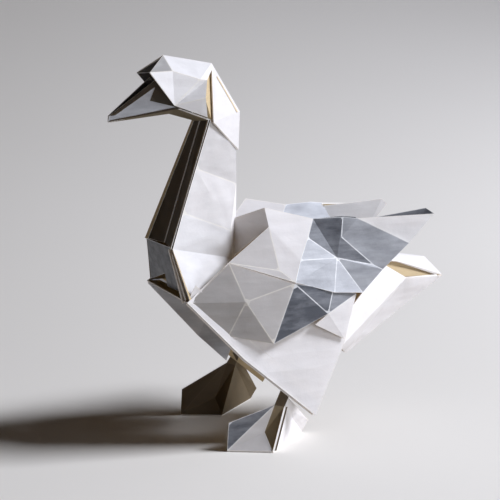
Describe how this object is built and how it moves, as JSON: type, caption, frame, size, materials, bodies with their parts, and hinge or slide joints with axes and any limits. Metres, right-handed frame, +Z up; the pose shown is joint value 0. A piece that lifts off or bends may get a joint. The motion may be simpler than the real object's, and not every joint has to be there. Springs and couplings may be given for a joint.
{
  "type": "origami goose",
  "caption": "Standing goose folded from one sheet of two-tone paper, with upright neck, hooded head, swept wings, pointed tail and splayed feet.",
  "frame": {"origin": "on the ground under the middle of the bounding box", "axes": "+Z up, beak towards -X, tail towards +X, left side towards -Y"},
  "size_m": [0.1158, 0.0598, 0.1203],
  "materials": {
    "paper": "matt, white outside and blue-grey reverse"
  },
  "bodies": {
    "root": {"folded_sheet": "paper"}
  },
  "joints": []
}
